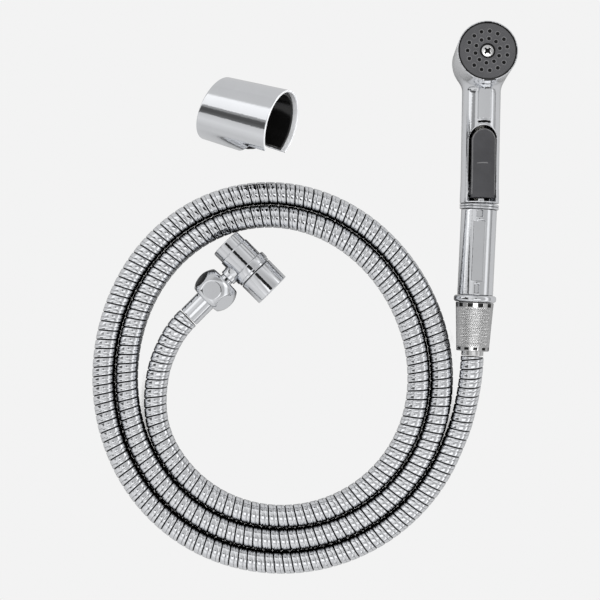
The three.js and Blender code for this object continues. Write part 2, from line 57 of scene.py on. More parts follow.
camera_data = bpy.data.cameras.new("camera")
camera_data.lens = LENS
camera_data.sensor_width = 36
camera_data.clip_end = 20
camera = bpy.data.objects.new("camera", camera_data)
camera.location = CAMERA_AT
scene.collection.objects.link(camera)
scene.camera = camera
scene.view_settings.view_transform = "Standard"


# ------------------------------------------------------------------ node helpers

class Nodes:
    """A short way to build a node tree."""

    def __init__(self, tree):
        self.tree = tree
        self.tree.nodes.clear()

    def new(self, kind, settings=None, **inputs):
        node = self.tree.nodes.new(kind)
        for key, value in (settings or {}).items():
            setattr(node, key, value)
        for key, value in inputs.items():
            self.put(node.inputs[key.replace("_", " ")], value)
        return node

    def put(self, socket, value):
        if isinstance(value, bpy.types.NodeSocket):
            self.tree.links.new(value, socket)
        else:
            socket.default_value = value

    def math(self, operation, *values):
        node = self.new("ShaderNodeMath", {"operation": operation})
        for socket, value in zip(node.inputs, values):
            self.put(socket, value)
        return node.outputs[0]

    def ramp(self, value, stops):
        """A colour by value, from (value, grey or colour) pairs in order."""
        node = self.new("ShaderNodeValToRGB")
        ramp = node.color_ramp
        while len(ramp.elements) > 1:
            ramp.elements.remove(ramp.elements[0])
        for i, (place, colour) in enumerate(stops):
            element = ramp.elements[0] if i == 0 else ramp.elements.new(place)
            element.position = place
            element.color = grey(colour) if isinstance(colour, (int, float)) else (*colour, 1)
        self.put(node.inputs[0], value)
        return node.outputs[0]

    def mix(self, factor, a, b, blend="MIX"):
        node = self.new("ShaderNodeMix", {"data_type": "RGBA", "blend_type": blend})
        for i, value in ((0, factor), (6, a), (7, b)):
            self.put(node.inputs[i], value)
        return node.outputs[2]

    def noise(self, scale, detail, rough, vector):
        node = self.new("ShaderNodeTexNoise", Scale=scale, Detail=detail, Roughness=rough, Vector=vector)
        return node.outputs[0]


def grey(value):
    return (value, value, value, 1)


def material(name):
    made = bpy.data.materials.new(name)
    made.use_nodes = True
    return made, Nodes(made.node_tree)


# ------------------------------------------------------------------ studio

PLAIN = 0.896

# The tent's brightness by degrees from overhead: SIDES towards +X, ENDS towards +Y, and LEFT_BANDS
# towards +Y on its left wall, between LEFT_WALL's angles.
SIDES = (
    (-180, 0.6), (-96, 0.6), (-91, 0.58), (-84, 0.5), (-78, 0.4), (-46, 0.4), (-41, 0.72), (-26, 0.7),
    (-20, 0.57), (0, 0.55), (22, 0.47), (50, 0.5), (56, 0.95), (68, 0.95), (73, 0.55), (84, 0.32),
    (92, 0.3), (97, 0.6), (180, 0.6),
)
ENDS = (
    (-180, 1.0), (-90, 0.7), (-72, 1.1), (-50, 1.4), (-36, 1.1), (-30, 1.0), (22, 1.0), (38, 1.3),
    (48, 1.6), (60, 0.7), (80, 0.8), (180, 1.0),
)
LEFT_WALL = (-100, -96, -46, -40)
LEFT_BANDS = (
    (-180, 0.6), (-90, 0.62), (-60, 0.74), (-26, 0.62), (-22, 0.14), (-5, 0.08), (7.5, 0.1), (10, 0.3),
    (17, 0.34), (19, 0.95), (55, 1.1), (61, 0.6), (90, 0.58),
)
# Soft-edged bright panels: four angles towards +X, four towards +Y, and the brightness.
PANELS = (
    ((-16, -10, 22, 28), (-32, -26, -9, -5), 1.15),
    ((-28, -26, -9, -7), (13, 15, 26, 28), 0.95),
)
HOLE = (3.6, 4.5)  # where the black hole's edge starts and ends


def make_world():
    """A light tent: greys and white gaps around a black lens hole overhead. The camera sees plain grey."""
    world = bpy.data.worlds.new("tent")
    world.use_nodes = True
    scene.world = world
    n = Nodes(world.node_tree)
    direction = n.new("ShaderNodeTexCoord").outputs["Generated"]
    x, y, z = n.new("ShaderNodeSeparateXYZ", Vector=direction).outputs

    def around(side):
        """Angle from overhead, 0 to 1 from -180 to 180 degrees."""
        return n.math("MULTIPLY_ADD", n.math("ARCTAN2", side, z), 1 / TURN, 0.5)

    def by_angle(angle, pairs):
        return n.ramp(angle, [(0.5 + degrees / 360, value) for degrees, value in pairs])

    def between(angle, edges):
        """1 between the middle two of four angles, and 0 outside the outer two."""
        return by_angle(angle, zip(edges, (0, 1, 1, 0)))

    across, along = around(x), around(y)
    tent = n.mix(1.0, by_angle(across, SIDES), by_angle(along, ENDS), "MULTIPLY")
    tent = n.mix(between(across, LEFT_WALL), tent, by_angle(along, LEFT_BANDS))
    for across_edges, along_edges, tone in PANELS:
        share = n.math("MULTIPLY", between(across, across_edges), between(along, along_edges))
        tent = n.mix(share, tent, grey(tone))
    from_overhead = n.math("MULTIPLY", n.math("ARCCOSINE", z), 4 / TURN)  # 1 at 90 degrees
    hole = n.ramp(from_overhead, [(0, 0.03), (HOLE[0] / 90, 0.03), (HOLE[1] / 90, 1.0)])
    tent = n.mix(1.0, tent, hole, "MULTIPLY")
    seen = n.new("ShaderNodeLightPath").outputs["Is Camera Ray"]
    colour = n.mix(seen, tent, grey(PLAIN))
    background = n.new("ShaderNodeBackground", Color=colour, Strength=1.0)
    n.new("ShaderNodeOutputWorld", Surface=background.outputs[0])


def stage_card(name, half_x, half_y, place, turn=0.0):
    mesh = bpy.data.meshes.new(name)
    corners = [(-half_x, -half_y, 0), (half_x, -half_y, 0), (half_x, half_y, 0), (-half_x, half_y, 0)]
    mesh.from_pydata(corners, [], [(0, 1, 2, 3)])
    card = bpy.data.objects.new(name, mesh)
    card.location = place
    card.rotation_euler = (0, 0, turn)
    scene.collection.objects.link(card)
    made, n = material(name)
    mesh.materials.append(made)
    return card, n


def make_floor():
    """The surface. The camera sees it as an even bright emission with painted shadow in narrow gaps; reflections
    see a dimmer emission with painted shade near things; other rays see a diffuse floor.
    """
    _, n = stage_card("floor", 3.0, 3.0, (0, 0, -0.0004))
    surface = n.new("ShaderNodeBsdfDiffuse", Color=grey(0.85)).outputs[0]
    gap = n.new("ShaderNodeAmbientOcclusion", {"samples": 8}, Distance=0.012).outputs["AO"]
    near = n.new("ShaderNodeAmbientOcclusion", {"samples": 4}, Distance=0.03).outputs["AO"]
    rays = n.new("ShaderNodeLightPath").outputs
    for ray, open_share, stops in (
        ("Is Glossy Ray", near, [(0.3, 0.02), (0.55, 0.2), (0.8, 0.6)]),
        ("Is Camera Ray", gap, [(0.05, 0.02), (0.12, PLAIN)]),
    ):
        glow = n.new("ShaderNodeEmission", Color=n.ramp(open_share, stops), Strength=1.0).outputs[0]
        both = n.new("ShaderNodeMixShader", Fac=rays[ray])
        n.put(both.inputs[1], surface)
        n.put(both.inputs[2], glow)
        surface = both.outputs[0]
    n.new("ShaderNodeOutputMaterial", Surface=surface)


def make_flag():
    """A black card above the tee, for the dark line along its polish. Only reflections see it."""
    flag, n = stage_card("flag", 0.045, 0.016, (-0.0718, -0.0582, 0.12), -math.pi / 4)
    dark = n.new("ShaderNodeEmission", Color=grey(0.02), Strength=1.0).outputs[0]
    n.new("ShaderNodeOutputMaterial", Surface=dark)
    for ray in ("camera", "diffuse", "shadow", "transmission", "volume_scatter"):
        setattr(flag, "visible_" + ray, False)


def area_light(name, place, target, size, power):
    data = bpy.data.lights.new(name, "AREA")
    data.shape = "RECTANGLE"
    data.size, data.size_y = size
    data.energy = power
    light = bpy.data.objects.new(name, data)
    light.location = place
    aim = Vector(target) - Vector(place)
    light.rotation_euler = aim.to_track_quat("-Z", "Y").to_euler()
    scene.collection.objects.link(light)
    return light


def strip_light(name, place, target, size, power, piece):
    """A light that reaches only that piece."""
    light = area_light(name, place, target, size, power)
    group = bpy.data.collections.new(name)
    group.objects.link(bpy.data.objects[piece])
    light.light_linking.receiver_collection = group


make_world()
make_floor()
make_flag()
overhead = area_light("overhead", (0, -0.08, 1.8), (0, -0.08, 0), (2.4, 2.4), 19)
overhead.visible_glossy = False
scene.cycles.caustics_reflective = False

# ------------------------------------------------------------------ materials

def shade(n, **inputs):
    shader = n.new("ShaderNodeBsdfPrincipled", None, **inputs)
    n.new("ShaderNodeOutputMaterial", Surface=shader.outputs[0])


def metal(name, tone, rough, vary=0.03, bump=0.00002, scale=900, tint=(1.0, 1.0, 1.0), painted_shade_reach=0.0):
    """Polished or satin metal: faint smears in its tone and polish, and a very fine grain.

    Painted shade: the colour is darkened in crevices narrower than the given reach, in metres.
    """
    made, n = material(name)
    place = n.new("ShaderNodeTexCoord").outputs["Object"]
    smears = n.noise(90, 4, 0.6, place)
    colour = n.ramp(smears, [(0.3, [tone * 0.97 * t for t in tint]), (0.7, [tone * t for t in tint])])
    if painted_shade_reach:
        # Painted shade: ambient occlusion darkens the colour in narrow crevices.
        open_share = n.new("ShaderNodeAmbientOcclusion", {"samples": 6}, Distance=painted_shade_reach).outputs["AO"]
        colour = n.mix(1.0, colour, n.ramp(open_share, [(0.3, 0.02), (0.62, 0.3), (0.85, 1.0)]), "MULTIPLY")
    roughness = n.math("MULTIPLY_ADD", smears, vary, rough - vary / 2)
    grain = n.noise(scale, 2, 0.5, place)
    height = n.new("ShaderNodeBump", Height=grain, Distance=bump, Strength=1.0).outputs[0]
    shade(n, Base_Color=colour, Metallic=1.0, Roughness=roughness, Normal=height)
    return made


def plastic(name, colour, rough, bump=0.00003, scale=2500, vary=0.08):
    """Moulded plastic or rubber: a fine moulded grain and slightly uneven gloss."""
    made, n = material(name)
    place = n.new("ShaderNodeTexCoord").outputs["Object"]
    cloud = n.noise(120, 3, 0.5, place)
    shades = n.ramp(cloud, [(0.3, [c * 0.9 for c in colour]), (0.7, [c * 1.08 for c in colour])])
    roughness = n.math("MULTIPLY_ADD", cloud, vary, rough - vary / 2)
    grain = n.noise(scale, 2, 0.6, place)
    height = n.new("ShaderNodeBump", Height=grain, Distance=bump, Strength=1.0).outputs[0]
    shade(n, Base_Color=shades, Roughness=roughness, Normal=height)
    return made


COOL = (0.955, 0.97, 1.0)
# Chrome, satin chrome, hose steel and brass get painted shade in their crevices.
CHROME = metal("chrome", 0.9, 0.05, tint=COOL, painted_shade_reach=0.0009)
SATIN = metal("satin_chrome", 0.78, 0.24, vary=0.02, bump=0.00003, scale=1500, painted_shade_reach=0.0009)
HOSE_STEEL = metal("hose_steel", 0.95, 0.07, vary=0.04, bump=0.00003, scale=700, tint=COOL, painted_shade_reach=0.005)
STEEL = metal("steel", 0.7, 0.22)
BRASS = metal("brass", 0.72, 0.24, tint=(1.0, 0.78, 0.42), painted_shade_reach=0.002)
FACE_GREY = plastic("face_grey", (0.078, 0.078, 0.083), 0.42)
LEVER_GREY = plastic("lever_grey", (0.05, 0.05, 0.055), 0.36)
# Painted highlight: a lighter grey for the paddle's edge and crease and for the nozzle rings.
HIGHLIGHT_GREY = plastic("painted_highlight_grey", (0.17, 0.17, 0.175), 0.3)
BLACK_PLASTIC = plastic("black_plastic", (0.006, 0.006, 0.006), 0.16, bump=0.00001)
BLACK_RUBBER = plastic("black_rubber", (0.012, 0.012, 0.012), 0.6)
NYLON = plastic("nylon", (0.78, 0.77, 0.72), 0.4)
# Painted shade: a near-black metal on the faces of grooves, recesses and the screw's cross, where shade falls.
GROOVE_SHADE = metal("painted_groove_shade", 0.02, 0.5)
# Painted highlight: a pale, near-white material that makes the holder's mouth rim look brightly lit.
MOUTH_HIGHLIGHT = plastic("painted_mouth_highlight", (0.85, 0.86, 0.88), 0.35)
KNURL = metal("knurl", 0.56, 0.34, vary=0.02, bump=0.00001)
# Painted shade: a dark metal for the knurl's valleys.
KNURL_SHADE = metal("painted_knurl_shade", 0.05, 0.4, vary=0.02, bump=0.00001)

BY_SLOT = {
    "chrome": CHROME, "satin_chrome": SATIN, "hose_steel": HOSE_STEEL, "brass": BRASS, "steel": STEEL,
    "face_grey": FACE_GREY, "lever_grey": LEVER_GREY, "black_plastic": BLACK_PLASTIC,
    "black_rubber": BLACK_RUBBER, "nylon": NYLON,
}
for part in frame["record"]["subparts"]:
    mesh = frame["nodes"][part["node"]].data
    mesh.materials.clear()
    mesh.materials.append(BY_SLOT[part["material_slot"]])

# ------------------------------------------------------------------ mesh helpers

def finish_piece(name, mesh, body, slot, materials, *stands_for):
    for m in materials:
        mesh.materials.append(m)
    mesh.polygons.foreach_set("use_smooth", [True] * len(mesh.polygons))
    mesh.update()
    made = bpy.data.objects.new(name, mesh)
    scene.collection.objects.link(made)
    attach(made, body)
    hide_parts(*stands_for)
    return made


def face_out(mesh):
    bm = bmesh.new()
    bm.from_mesh(mesh)
    bmesh.ops.recalc_face_normals(bm, faces=bm.faces)
    bm.to_mesh(mesh)
    bm.free()


# ------------------------------------------------------------------ hose

# The hose lies in a slightly out-of-round flat coil between its two free ends.
HOSE_RADIUS = 7.4
COIL_AT = (-50.4, -129.65)
COIL_RADIUS, COIL_PITCH = 124.5, 14.96
COIL_FIRST, COIL_LAST = 24, 860  # degrees
OUT_OF_ROUND = ((2, -3.13, 1.25), (3, 0.65, 0.86))  # (lobes, cosine, sine)
LEAD_ROUTE = (
    (75.9, -118.4, 13.6), (75.4, -127, 13.4), (74.5, -135.6, 12.1), (73.1, -145.1, 10.2),
    (71.1, -154.8, 8.4), (68.2, -165.2, 7.5),
)
TAIL_ROUTE = (
    (-123.3, -177.2, 7.4), (-128.2, -164.2, 7.4), (-130, -150.7, 7.4), (-129.4, -137.2, 7.6),
    (-126.8, -124.2, 8.8), (-121.9, -112.2, 10.8), (-116.6, -103, 12.7), (-111.3, -96.35, 13.6),
    (-108.4, -93.45, 13.6),
)
RIB_PITCH = 5.9
HOSE_SIDES = 36
ALONG_STEP = 0.5  # between the worked-out points of the centre line
COIL_STEP = 4  # degrees
PATH_EVERY = 8

# One strip of the hose: (share of the pitch, depth below the outside, dark groove as painted shade).
RIB = (
    (0.0, 0.7, True), (0.10, 0.7, True), (0.115, 0.10, False), (0.16, 0.03, False),
    (0.26, 0.0, False), (0.42, 0.03, False), (0.435, 0.12, True), (0.465, 0.12, True),
    (0.48, 0.03, False), (0.62, 0.0, False), (0.78, 0.01, False), (0.90, 0.05, False),
    (0.95, 0.14, False), (0.97, 0.7, True),
)


def coil_point(degrees):
    t = math.radians(degrees)
    r = COIL_RADIUS - COIL_PITCH * t / TURN
    r += sum(c * math.cos(n * t) + s * math.sin(n * t) for n, c, s in OUT_OF_ROUND)
    return (COIL_AT[0] + r * math.cos(t), COIL_AT[1] - r * math.sin(t), HOSE_RADIUS)


def through(points, steps=12):
    """A centripetal Catmull-Rom curve through the points, as a dense list."""
    p = np.array(points, float)
    p = np.vstack([2 * p[0] - p[1], p, 2 * p[-1] - p[-2]])
    out = []
    for i in range(1, len(p) - 2):
        p0, p1, p2, p3 = p[i - 1:i + 3]
        t0 = 0.0
        t1 = t0 + np.linalg.norm(p1 - p0) ** 0.5
        t2 = t1 + np.linalg.norm(p2 - p1) ** 0.5
        t3 = t2 + np.linalg.norm(p3 - p2) ** 0.5
        for k in range(steps):
            t = t1 + (t2 - t1) * k / steps
            a1 = (t1 - t) / (t1 - t0) * p0 + (t - t0) / (t1 - t0) * p1
            a2 = (t2 - t) / (t2 - t1) * p1 + (t - t1) / (t2 - t1) * p2
            a3 = (t3 - t) / (t3 - t2) * p2 + (t - t2) / (t3 - t2) * p3
            b1 = (t2 - t) / (t2 - t0) * a1 + (t - t0) / (t2 - t0) * a2
            b2 = (t3 - t) / (t3 - t1) * a2 + (t - t1) / (t3 - t1) * a3
            out.append((t2 - t) / (t2 - t1) * b1 + (t - t1) / (t2 - t1) * b2)
    out.append(p[-2])
    return np.array(out)


def even(points, spacing):
    """The same line with evenly spaced points, and its length."""
    steps = np.linalg.norm(np.diff(points, axis=0), axis=1)
    along = np.concatenate([[0], np.cumsum(steps)])
    count = int(round(along[-1] / spacing)) + 1
    at = np.linspace(0, along[-1], count)
    return np.stack([np.interp(at, along, points[:, k]) for k in range(3)], axis=1), along[-1]


def make_hose():
    """The hose as a skin round its route, the points of that route, and its length, both in metres."""
    coil = tuple(coil_point(degrees) for degrees in range(COIL_FIRST, COIL_LAST + 1, COIL_STEP))
    line, length = even(through(LEAD_ROUTE + coil + TAIL_ROUTE), ALONG_STEP)
    spacing = length / (len(line) - 1)
    tangent = np.gradient(line, axis=0)
    tangent /= np.linalg.norm(tangent, axis=1)[:, None]
    side = np.cross((0, 0, 1), tangent)
    side /= np.linalg.norm(side, axis=1)[:, None]
    up = np.cross(tangent, side)

    def frame_at(s):
        i = np.clip(s / spacing, 0, len(line) - 1.001)
        k = i.astype(int)
        f = (i - k)[:, None]
        return [a[k] * (1 - f) + a[k + 1] * f for a in (line, side, up)]

    ribs = int(round(length / RIB_PITCH))
    pitch = length / ribs
    rows = [((rib + share) * pitch, depth, dark) for rib in range(-1, ribs + 1) for share, depth, dark in RIB]
    starts, depths = np.array([(start, depth) for start, depth, _ in rows]).T
    dark = [row[2] for row in rows]
    columns = []
    for j in range(HOSE_SIDES):
        # The ribs run in a helix, so each column of points starts a little later than the one before.
        at, across, above = frame_at(np.clip(starts + pitch * j / HOSE_SIDES, 0, length))
        angle = TURN * j / HOSE_SIDES
        radius = (HOSE_RADIUS - depths)[:, None]
        columns.append(at + radius * (across * math.cos(angle) + above * math.sin(angle)))
    vertices = np.stack(columns, axis=1).reshape(-1, 3)
    faces, slots = [], []
    for i in range(len(rows) - 1):
        for j in range(HOSE_SIDES):
            # The last column meets the first one a whole rib later.
            last = j == HOSE_SIDES - 1
            row = i - len(RIB) if last else i
            if row < 0:
                continue
            corner = row * HOSE_SIDES + j
            beside = corner + 1 + (len(RIB) - 1) * HOSE_SIDES * last
            faces.append((corner, corner + HOSE_SIDES, beside + HOSE_SIDES, beside))
            # Faces between two dark groove rows carry the painted groove shade.
            slots.append(int(dark[row] and dark[row + 1]))
    mesh = bpy.data.meshes.new("hose")
    mesh.from_pydata([tuple(v) for v in vertices * MM], [], faces)
    mesh.polygons.foreach_set("material_index", slots)
    bm = bmesh.new()
    bm.from_mesh(mesh)
    bmesh.ops.remove_doubles(bm, verts=bm.verts, dist=1e-6)
    bmesh.ops.dissolve_degenerate(bm, edges=bm.edges, dist=1e-6)
    bmesh.ops.delete(bm, geom=[v for v in bm.verts if not v.link_faces], context="VERTS")
    bmesh.ops.holes_fill(bm, edges=[e for e in bm.edges if e.is_boundary], sides=0)
    bmesh.ops.recalc_face_normals(bm, faces=bm.faces)
    bm.to_mesh(mesh)
    bm.free()
    hose = finish_piece("hose", mesh, "handset", "hose_steel", [HOSE_STEEL, GROOVE_SHADE],
                        "hose_lead", "hose_coil", "hose_end")
    path = [tuple(point * MM) for point in [*line[::PATH_EVERY], line[-1]]]
    return hose, path, length * MM


hose, hose_path, hose_length = make_hose()

# ------------------------------------------------------------------ shapes from distance fields

def smooth_min(a, b, k):
    h = np.clip(0.5 + 0.5 * (b - a) / k, 0, 1)
    return b + (a - b) * h - k * h * (1 - h)


def smooth_max(a, b, k):
    return -smooth_min(-a, -b, k)


def rounded(side, cap, radius):
    """Two faces that meet at a right angle with a round edge of that radius."""
    x, y = side + radius, cap + radius
    return np.minimum(np.maximum(x, y), 0) + np.hypot(np.maximum(x, 0), np.maximum(y, 0)) - radius


def slab(value, low, high):
    return np.maximum(low - value, value - high)


PULLS = 4  # times that a skin's points are moved onto their surface


def skin(field, low, high, cell):
    """A closed quad mesh of the field's zero surface (surface nets), with its points moved onto it."""
    axes = [np.arange(l - 2 * cell, h + 3 * cell, cell) for l, h in zip(low, high)]
    grid = np.meshgrid(*axes, indexing="ij")
    values = field(*grid)
    shape = tuple(n - 1 for n in values.shape)
    corners = [(i, j, k) for i in (0, 1) for j in (0, 1) for k in (0, 1)]

    def shifted(array, c):
        return array[c[0]:c[0] + shape[0], c[1]:c[1] + shape[1], c[2]:c[2] + shape[2]]

    inside = values < 0
    count = sum(shifted(inside, c).astype(np.int8) for c in corners)
    active = (count > 0) & (count < 8)
    where = np.argwhere(active)
    index = -np.ones(shape, np.int64)
    index[active] = np.arange(len(where))
    total = np.zeros((len(where), 3))
    crossings = np.zeros(len(where))
    for a in corners:
        for axis in range(3):
            if a[axis]:
                continue
            b = tuple(v + (k == axis) for k, v in enumerate(a))
            va = values[tuple((where + a).T)]
            vb = values[tuple((where + b).T)]
            hit = (va < 0) != (vb < 0)
            t = va[hit] / (va[hit] - vb[hit])
            at = np.tile(np.array(a, float), (len(t), 1))
            at[:, axis] += t
            total[hit] += at
            crossings[hit] += 1
    points = np.array([x[0] for x in axes]) + (where + total / crossings[:, None]) * cell
    for _ in range(PULLS):
        value = field(*points.T)
        slope = np.stack([
            field(*(points + d).T) - field(*(points - d).T) for d in np.eye(3) * cell * 0.05
        ], axis=1) / (cell * 0.1)
        step = slope * (value / np.maximum((slope ** 2).sum(1), 0.2))[:, None]
        points -= np.clip(step, -cell * 0.4, cell * 0.4)
    quads = []
    steps = np.eye(3, dtype=int)
    for axis in range(3):
        u, v = steps[(axis + 1) % 3], steps[(axis + 2) % 3]
        change = inside != np.roll(inside, -1, axis)
        edges = np.argwhere(change[1:-1, 1:-1, 1:-1]) + 1
        ring = [edges - u - v, edges - v, edges, edges - u]
        quad = np.stack([index[tuple(c.T)] for c in ring], axis=1)
        out = inside[tuple(edges.T)]
        quad[~out] = quad[~out][:, ::-1]
        quads.append(quad)
    return points, np.concatenate(quads)


def field_piece(name, field, low, high, cell, place, body, slot, materials, node, choose=None):
    """A piece from a distance field; choose says which of the materials each face has."""
    points, quads = skin(field, low, high, cell)
    mesh = bpy.data.meshes.new(name)
    place = np.array(place)
    mesh.from_pydata(((points @ place[:3, :3].T + place[:3, 3]) * MM).tolist(), [], quads.tolist())
    if choose is not None:
        middle = points[quads].mean(1)
        mesh.polygons.foreach_set("material_index", choose(*middle.T).astype(np.int32))
    finish_piece(name, mesh, body, slot, materials, node)
    mesh.set_sharp_from_angle(angle=math.radians(50))


# ------------------------------------------------------------------ turned shapes

ALONG_X = Matrix.Rotation(-math.pi / 2, 4, "Z")
ALONG_Z = Matrix.Rotation(math.pi / 2, 4, "X")


def facing(forward):
    """A turn about the vertical that takes +Y to that direction."""
    return Matrix.Rotation(math.atan2(-forward[0], forward[1]), 4, "Z")


def moved(*by):
    return Matrix.Translation(by)


def at_joint(joint):
    return moved(*(Vector(JOINTS[joint]["pos_m"]) / MM))


def eased(profile, radius=0.25, steps=3):
    """The closed outline with its corners rounded off."""
    points = [Vector(p) for p in profile]
    straight = math.radians(165)
    out = []
    for i, p in enumerate(points):
        before, after = points[i - 1] - p, points[(i + 1) % len(points)] - p
        r = min(radius, before.length * 0.45, after.length * 0.45)
        if p.x < 1e-6 or before.angle(after) > straight:
            out.append(tuple(p))
            continue
        a, b = p + before.normalized() * r, p + after.normalized() * r
        for k in range(steps + 1):
            t = k / steps
            out.append(tuple(a * (1 - t) ** 2 + p * 2 * t * (1 - t) + b * t ** 2))
    return out


def turned_mesh(profile, sides=96, ease=0.25):
    """A closed mesh turned about +Y from an outline of (radius, height)."""
    outline = eased(profile, ease) if ease else list(profile)
    on_axis = [radius < 1e-6 for radius, _ in outline]
    rings = []
    vertices = []
    for (radius, height), single in zip(outline, on_axis):
        rings.append(len(vertices))
        for k in range(1 if single else sides):
            angle = TURN * k / sides
            vertices.append((radius * math.sin(angle), height, radius * math.cos(angle)))
    faces = []
    for i in range(len(outline)):
        j = (i + 1) % len(outline)
        if on_axis[i] and on_axis[j]:
            continue
        for k in range(sides):
            m = (k + 1) % sides
            if on_axis[i]:
                faces.append((rings[i], rings[j] + m, rings[j] + k))
            elif on_axis[j]:
                faces.append((rings[i] + k, rings[i] + m, rings[j]))
            else:
                faces.append((rings[i] + k, rings[i] + m, rings[j] + m, rings[j] + k))
    mesh = bpy.data.meshes.new("turned")
    mesh.from_pydata(vertices, [], faces)
    face_out(mesh)
    return mesh


def combined(mesh, others, operation):
    """The mesh joined with, or cut by, the others."""
    made = bpy.data.objects.new("made", mesh)
    scene.collection.objects.link(made)
    tools = []
    for other in others:
        tool = bpy.data.objects.new("tool", other)
        scene.collection.objects.link(tool)
        tools.append(tool)
        step = made.modifiers.new("step", "BOOLEAN")
        step.operation, step.solver, step.object = operation, "EXACT", tool
    bpy.context.view_layer.update()
    result = bpy.data.meshes.new_from_object(made.evaluated_get(bpy.context.evaluated_depsgraph_get()))
    for o in [made, *tools]:
        bpy.data.objects.remove(o)
    return result


def set_in(name, mesh, place, body, slot, materials, node):
    which = [face.material_index for face in mesh.polygons]
    mesh.materials.clear()
    mesh.name = name
    mesh.transform(Matrix.Scale(MM, 4) @ place)
    finish_piece(name, mesh, body, slot, materials, node)
    mesh.polygons.foreach_set("material_index", which)
    mesh.set_sharp_from_angle(angle=math.radians(35))


def turned_piece(name, profile, place, body, slot, look, node, ease=0.25):
    set_in(name, turned_mesh(profile, ease=ease), place, body, slot, [look], node)


# ------------------------------------------------------------------ handset: body and head

# The body's +Y runs from the seam to the head, and the grip leans away from it a little at the seam.
PIN_Y, PIN_Z, PIN_HOLE = 8.5, 3.2, 1.65
LEVER_AXIS = JOINTS["lever_press"]["axis"]
BODY = at_joint("lever_press") @ facing((LEVER_AXIS[1], -LEVER_AXIS[0])) @ moved(0, -PIN_Y, -PIN_Z)
GRIP = moved(*BODY.translation) @ facing(JOINTS["handset_nut_spin"]["axis"])
BODY_START, BORE_RADIUS = 0.9, 9.2
POCKET = (9, 2, 50.45)  # half width, lower end, top of the arch
MARK_Y = 52.9
HEAD_Y, HEAD_TILT = 92.7, math.radians(4.7)
HEAD_BACK, HEAD_TOP = -12.7, 30.4
HEAD = BODY @ moved(0, HEAD_Y, 0) @ Matrix.Rotation(-HEAD_TILT, 4, "X") @ ALONG_Z
ROLL = math.radians(4)


def to_head(x, y, z):
    """A point's distance from the head's axis and its height along it."""
    dy = y - HEAD_Y
    height = dy * math.sin(HEAD_TILT) + z * math.cos(HEAD_TILT)
    across = dy * math.cos(HEAD_TILT) - z * math.sin(HEAD_TILT)
    return np.hypot(x, across), height


def arch(x, y, half, bottom, top):
    """Distance to an arch-topped outline."""
    over = y - (top - half)
    return np.maximum(np.where(over > 0, np.hypot(x, over), np.abs(x)) - half, bottom - y)


def from_pin(y, z):
    return np.hypot(y - PIN_Y, z - PIN_Z)


def rolled(x, z):
    """The handset's pocket, lever and panels sit a little round from its top."""
    return x * math.cos(ROLL) - z * math.sin(ROLL), x * math.sin(ROLL) + z * math.cos(ROLL)


def upper_body_field(x, y, z):
    rho, height = to_head(x, y, z)
    u, w = rolled(x, z)
    handle_radius = np.interp(y, [4, 14, 60], [12.6, 12.3, 12.4])
    handle = rounded(np.hypot(x, z) - handle_radius, BODY_START - y, 0.4)
    handle = np.maximum(handle, y - HEAD_Y)
    groove = np.maximum(np.abs(y - MARK_Y) - 0.7 + 0.03 * u ** 2, np.maximum(np.abs(u) - 4.2, 11.1 - w))
    handle = smooth_max(handle, -groove, 0.15)
    drum = rounded(rho - (18.7 + (height + 6) * 0.0125), HEAD_BACK - height, 6.7)
    outside = smooth_min(handle, drum, 4.5)
    floor = 10.35 + 0.24 * u - 0.013 * u ** 2
    scoop = np.maximum(rounded(np.abs(u) - 4.15, slab(y, 54.6, 77.1), 0.5), floor - w)
    outside = smooth_max(outside, -scoop, 0.3)
    outside = smooth_max(outside, height - HEAD_TOP, 0.5)
    bore = np.maximum(np.hypot(x, z) - BORE_RADIUS, y - (HEAD_Y - 12))
    cavity = np.maximum(rho - np.interp(height, [-9.5, -3], [12, 16.2]), slab(height, -9.5, 25.4))
    recess = np.maximum(rho - 18.45, 25 - height)
    inside = np.minimum(np.minimum(bore, cavity), recess)
    tab = np.maximum(np.abs(u + 1.2) - 1.9, y - 3.5)
    pocket = np.maximum(np.maximum(arch(u, y, *POCKET), -tab), -1 - z)
    pin = np.maximum(from_pin(y, z) - PIN_HOLE, np.abs(x) - 10.7)
    shell = smooth_max(outside, -inside, 0.25)
    return np.maximum(smooth_max(shell, -pocket, 0.7), -pin)


def body_groove_shade(x, y, z):
    """Painted shade in the curved groove above the pocket."""
    u, w = rolled(x, z)
    return (np.abs(y - MARK_Y + 0.03 * u ** 2) < 0.6) & (np.abs(u) < 4) & (w > 10.7) & (w < 13)


field_piece("upper_body_casting", upper_body_field, (-20, 0, -15), (20, 115, 33), 0.45, BODY, "handset",
            "chrome", [CHROME, GROOVE_SHADE], "upper_body", body_groove_shade)

PLATE_RADIUS, PLATE_TOP, PLATE_BOTTOM = 18.15, 30, 27.3
WELL_RADIUS = 4.85  # round the centre screw
NOZZLE_RINGS = ((15, 12.6), (10, 7.8))  # (count, radius)
NOZZLE_HOLE, NOZZLE_START = 1.12, math.radians(12.5)


def nozzle_places():
    for count, radius in NOZZLE_RINGS:
        for i in range(count):
            angle = NOZZLE_START + TURN * i / count
            yield radius * math.cos(angle), radius * math.sin(angle)


NOZZLES = list(nozzle_places())


def face_plate_field(x, h, z):
    rho = np.hypot(x, z)
    top = PLATE_TOP + 0.25 * (1 - (rho / 18.25) ** 2)
    disc = rounded(rho - PLATE_RADIUS, h - top, 0.5)
    for px, pz in NOZZLES:
        disc = disc - 0.16 * np.exp(-((np.hypot(x - px, z + pz) - 1.45) / 0.3) ** 2)
    disc = np.maximum(disc, PLATE_BOTTOM - h)
    for px, pz in NOZZLES:
        disc = smooth_max(disc, NOZZLE_HOLE - np.hypot(x - px, z + pz), 0.2)
    well = np.maximum(rho - WELL_RADIUS, 28.4 - h)
    return np.maximum(smooth_max(disc, -well, 0.3), 1.9 - rho)


